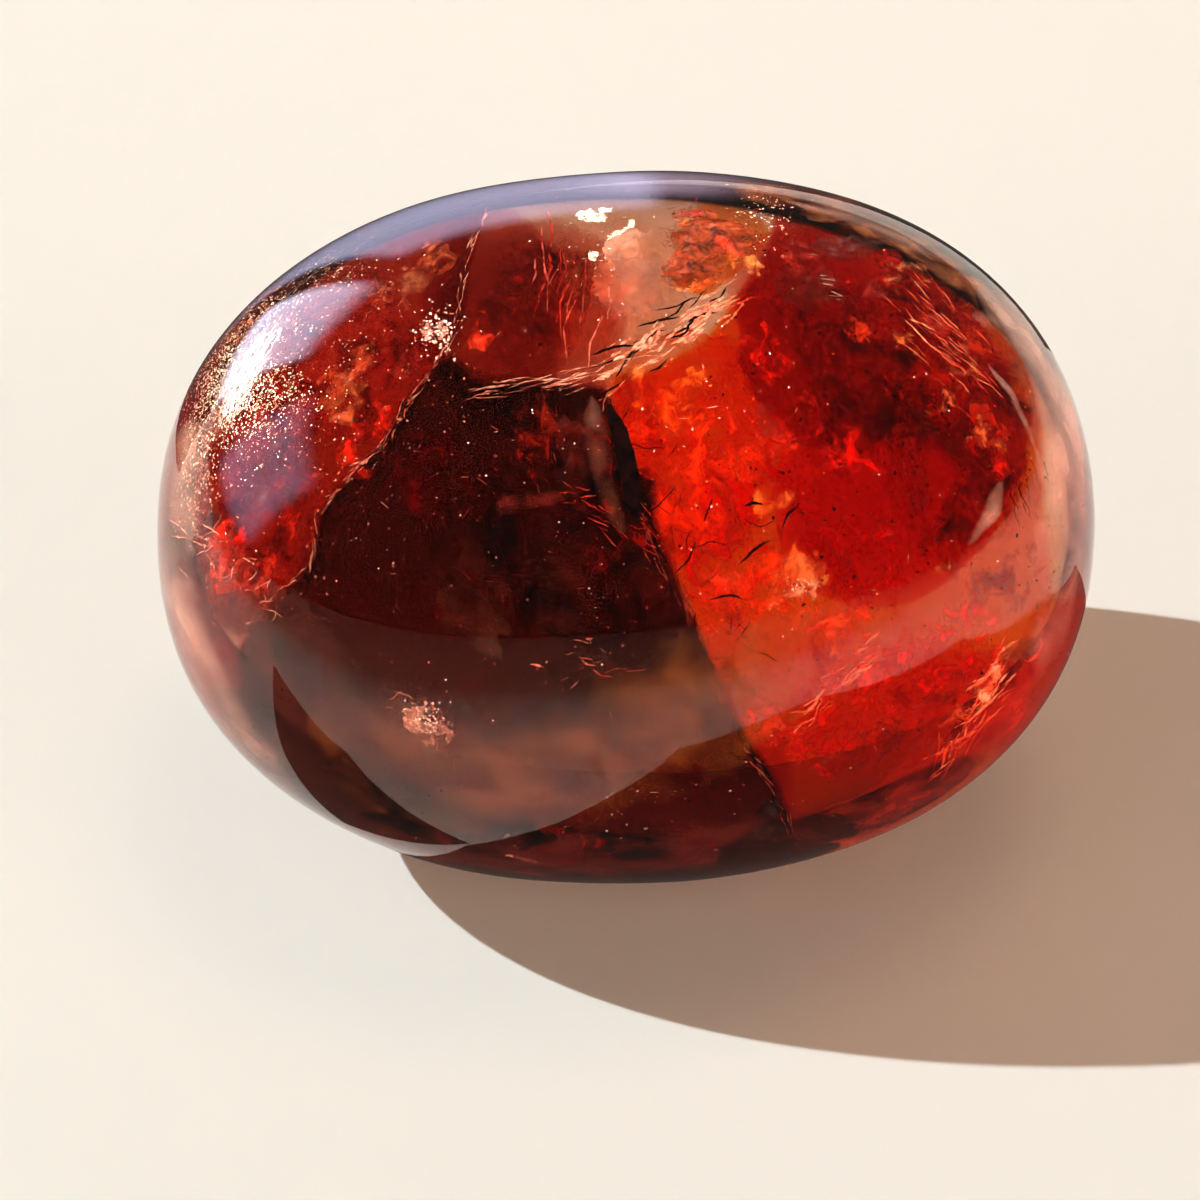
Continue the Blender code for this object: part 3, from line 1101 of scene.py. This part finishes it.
splinters("window_streaks", 22, ((545, 250), (555, 300), (600, 320)), (12, 20), (24, 80), (0.06, 0.24),
          (0.18, 0.34), dull_pink, heading=82, wobble=8)
splinters("wedge_cracks", 26, ((200, 530), (230, 570), (260, 600)), (16, 16), (12, 40), (0.04, 0.09),
          (0.06, 0.14), peach, heading=60, wobble=50)
splinters("heart_streaks", 26, ((570, 505), (610, 515), (650, 555)), (12, 12), (14, 40), (0.05, 0.16),
          (0.14, 0.22), fiery, wobble=14, bow=0.06)
splinters("small_glints", 12, ((560, 655), (600, 662), (640, 668)), (14, 8), (8, 30), (0.06, 0.20),
          (0.08, 0.14), dull_pink, wobble=12)
KNOT_LINE = (
    (662, 214), (690, 200), (772, 208), (780, 238), (752, 276), (735, 290), (690, 300), (664, 270),
    (660, 220))
splinters("knot_border", 60, KNOT_LINE, (5, 5), (12, 34), (0.14, 0.40), (0.05, 0.10), dim_dust, wobble=22)
splinters("wiry_blob", 70, ((402, 703), (425, 722), (448, 742)), (9, 9), (8, 28), (0.03, 0.08), (0.08, 0.13),
          dull_pink, heading=-40, wobble=50)
ribbon("foot_chip", ((500, 853), (518, 858), (542, 864)), (0.03, 0.03), 0.5, peach, folds=((1, 0.2),))
splinters("claws", 9, ((1008, 500), (1026, 488), (1042, 470)), (3, 6), (30, 56), (0.03, 0.06), (0.25, 0.55),
          black_crack, heading=-76, wobble=8, bow=0.06)
splinters("dashes", 9, ((808, 262), (836, 280), (846, 300)), (12, 8), (8, 24), (0.04, 0.10), (0.07, 0.12),
          glint_crack, heading=-8, wobble=8, bow=0.04)
splinters("ember_slits", 26, ((640, 420), (700, 540), (740, 640)), (34, 40), (16, 50), (0.05, 0.20),
          (0.08, 0.16), black_crack, heading=60, wobble=40, bow=0.2)
ribbon("dark_blade", ((607, 402), (619, 432), (630, 475), (637, 524)), (0.035, 0.035), 1.15, black_crack,
       folds=((2, 0.3),), tilt=20)
splinters("bubble_edge", 22, ((728, 488), (745, 508), (775, 522), (808, 520), (806, 500), (780, 482)), (1, 1),
          (10, 26), (0.05, 0.16), (0.18, 0.20), dim_dust, wobble=8, bow=0.06)

# Chips: name, shape, mineral, how many, middle and spread in the photo, shares of the depth, and sizes
pale_flecks = mineral_dust("pale flecks", (0.95, 0.45, 0.32), (1.0, 0.86, 0.76), 0.35)
copper_flecks = mineral_dust("copper flecks", (0.62, 0.26, 0.15), (0.95, 0.66, 0.48), 0.35, 0.5)
gold_flecks = mineral_dust("gold flecks", (0.95, 0.70, 0.45), (1.0, 0.92, 0.80), 0.22, 0.9)
black_pits = mineral_dust("black pits", (0.001, 0.0003, 0.0003), (0.012, 0.003, 0.002), 0.8, specular=0.0)
fleck = chip_mesh(0.16, 0.10, 0.04)
thread = chip_mesh(0.9, 0.04, 0.03)
strewn("flecks_everywhere", fleck, pale_flecks, 800, (620, 480), (240, 170), (0.03, 0.5), (0.25, 1.2))
strewn("flecks_left", fleck, copper_flecks, 600, (290, 370), (70, 90), (0.01, 0.2), (0.3, 1.4))
strewn("flecks_crack", fleck, pale_flecks, 130, (437, 332), (12, 12), (0.04, 0.12), (0.5, 1.8))
strewn("flecks_knot", fleck, pale_flecks, 120, (765, 220), (18, 20), (0.06, 0.16), (0.4, 1.5))
strewn("flecks_glint", fleck, gold_flecks, 160, (600, 235), (18, 30), (0.06, 0.16), (0.4, 1.6))
# Painted focus glow: pale hot orange splinters where light gathers in the toe.
splinters("toe_peaks", 22, ((965, 725), (990, 695), (1006, 664)), (5, 8), (14, 40), (0.10, 0.34),
          (0.09, 0.12), focus_glow_dust, heading=52, wobble=14, bow=0.08)
strewn("flecks_foot", fleck, pale_flecks, 70, (640, 826), (90, 22), (0.02, 0.06), (0.3, 1.2))
strewn("flecks_peak", fleck, gold_flecks, 60, (804, 588), (9, 6), (0.08, 0.15), (0.4, 1.4))
strewn("threads", thread, copper_flecks, 90, (560, 500), (220, 160), (0.03, 0.4), (0.3, 1.0))
strewn("dark_specks", fleck, black_pits, 400, (900, 460), (150, 150), (0.02, 0.4), (0.4, 1.8))
strewn("pits_right", fleck, black_pits, 90, (1066, 560), (16, 50), (0.01, 0.06), (0.5, 2.0))
strewn("pits_left", fleck, black_pits, 60, (282, 700), (16, 22), (0.01, 0.05), (0.5, 1.6))
strewn("pits_front", fleck, black_pits, 60, (430, 782), (30, 18), (0.01, 0.05), (0.5, 1.6))
strewn("flecks_blob", fleck, pale_flecks, 130, (425, 722), (10, 8), (0.02, 0.08), (0.4, 1.3))

# Chips that lie along the skin and shine together: middle and spread in the photo, and how many
COPPER_SHEEN = (
    ((196, 455), (12, 50), 700), ((205, 370), (15, 34), 600), ((250, 305), (28, 22), 700),
    ((268, 392), (22, 20), 600), ((318, 268), (26, 12), 300))
copper_frames = [frame_of_chip for middle, spread, count in COPPER_SHEEN
                 for frame_of_chip in sheen_frames(count, middle, spread, (0.08, 0.6), (0.25, 1.2), 40)]
joined_chips("copper_sheen", fleck, copper_frames, copper_flecks)
gold_frames = sheen_frames(2400, (232, 378), (22, 38), (0.06, 0.3), (0.25, 1.2), 14)
joined_chips("gold_sheen", fleck, gold_frames, gold_flecks)

scene = bpy.context.scene
scene.view_settings.view_transform = "Standard"
scene.cycles.transparent_max_bounces = 32
scene.cycles.max_bounces = 9
scene.cycles.adaptive_min_samples = 8
scene.cycles.adaptive_threshold = 0.16

# Sun and soft light on the floor: turn, rise and distance, target, cone, soft edge, size, power and colour
spot_lamp("key", 166.5, 40, 3.0, SUN_PATCH, 23.6, 0.05, 0.02, 378, (0.87, 0.97, 1.0))
fill = spot_lamp("fill", 70, 72, 2.0, FILL_PATCH, 25, 0.2, 0.35, 48, (1.0, 0.60, 0.40))
light_only(fill, inclusions + [body] + floors, floors)
spot_lamp("soft_fill", 40, 72, 2.0, FILL_PATCH, 25, 0.2, 0.60, 31, (1.0, 0.58, 0.38))

# Lamps for the dust and chips inside: turn, rise, size, power and colour. The glint shines along the sheen
_, outward, inward, _ = line_of_sight((240, 385))
sheen_way = inward - 2 * inward.dot(outward) * outward
GLINT_TURN = math.degrees(math.atan2(sheen_way.y, sheen_way.x))
GLINT_RISE = math.degrees(math.asin(sheen_way.z))
INNER_LAMPS = (
    ("inner_key", 166.5, 40, 0.03, 130, (1.0, 0.93, 0.85)),
    ("inner_front", -70, 55, 0.10, 40, (1.0, 0.86, 0.78)),
    ("inner_glint", GLINT_TURN, GLINT_RISE, 0.05, 45, (1.0, 0.88, 0.70)),
    ("inner_back", 50, 60, 0.10, 60, (1.0, 0.90, 0.80)),
    ("inner_right", -15, 45, 0.10, 40, (1.0, 0.90, 0.80)),
)
solid_inclusions = [piece for piece in inclusions if piece not in stains]
for name, turn, rise, size, power, colour in INNER_LAMPS:
    lamp = spot_lamp(name, turn, rise, 1.0, STONE_MIDDLE, 12, 0.3, size, power, colour, in_gloss=True)
    light_only(lamp, solid_inclusions, stains)

# Lamps for the polish: turn, rise, distance, size, power, colour, fades at sides, top and bottom, and grains
SHEENS = (
    ("glint", 130, 6, 0.9, (0.34, 0.22), 7, (1.0, 0.9, 0.75), (0.5, 0.5, 0.5), 15),
    ("pane_back", 98, -1.5, 0.30, (0.14, 0.28), 0.27, (0.70, 0.68, 1.0), (0.12, 0.15, 0.7), 0),
    ("pane_back_fade", 85, -3, 0.30, (0.07, 0.22), 0.07, (0.85, 0.62, 0.85), (0.5, 0.3, 0.8), 0),
    ("pane_left_back", 125, 12.5, 0.30, (0.10, 0.17), 0.26, (0.76, 0.74, 1.0), (0.15, 0.25, 0.15), 0),
    ("pane_left", 163, 19, 1.2, (0.80, 0.78), 3.8, (0.62, 0.64, 1.0), (0.2, 0.25, 0.2), 0),
    ("pane_low_back", 68, 5, 0.30, (0.09, 0.080), 0.012, (1.0, 0.80, 0.64), (0.3, 0.3, 0.3), 0),
)
for *lamp_values, fades, grains in SHEENS:
    sheen = area_lamp(*lamp_values, in_gloss=True)
    feathered(sheen, *fades, grains)
    light_only(sheen, [body])

# Warm walls that are seen only through the clear stone
WARM_WALL = (1.0, 0.84, 0.70)
area_lamp("wall_back", 85, 12, 1.5, (2.2, 1.1), 3.4, WARM_WALL, in_gloss=False)
area_lamp("wall_right", -45, 27, 1.3, (1.0, 0.6), 2.4, WARM_WALL, in_gloss=False)
area_lamp("wall_left", -145, 25, 1.3, (1.0, 0.6), 2.4, WARM_WALL, in_gloss=False)
